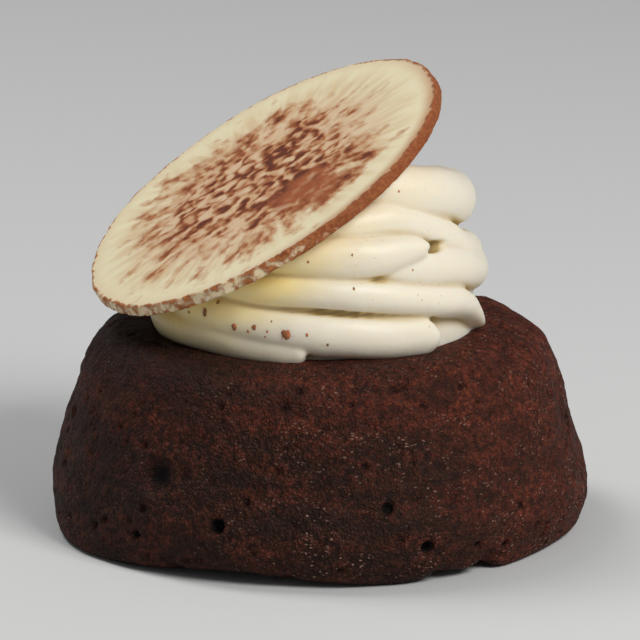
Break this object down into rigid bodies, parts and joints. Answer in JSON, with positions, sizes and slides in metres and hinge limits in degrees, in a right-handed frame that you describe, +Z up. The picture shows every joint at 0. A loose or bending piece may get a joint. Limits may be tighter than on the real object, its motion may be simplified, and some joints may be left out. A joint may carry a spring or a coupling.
{
  "type": "tiramisu savarin",
  "caption": "Small chocolate savarin cake topped with a ribbed swirl of cream and a thin leaning disc of white chocolate dusted with cocoa.",
  "frame": {"origin": "middle of the box round the cake, at the height of its flat base", "axes": "+Z up through the cake and the swirl; -Y towards the side from which the disc's face is best seen; the disc's low edge lies towards -X"},
  "size_m": [0.0808, 0.0804, 0.0676],
  "materials": {
    "chocolate_sponge": "moist, open-pored dark chocolate crumb",
    "mascarpone_cream": "smooth whipped cream with a soft sheen",
    "white_chocolate": "smooth pale chocolate, streaked and edged with cocoa"
  },
  "bodies": {
    "root": {"cake": "chocolate_sponge", "cream": "mascarpone_cream", "chocolate_disc": "white_chocolate"}
  },
  "joints": []
}
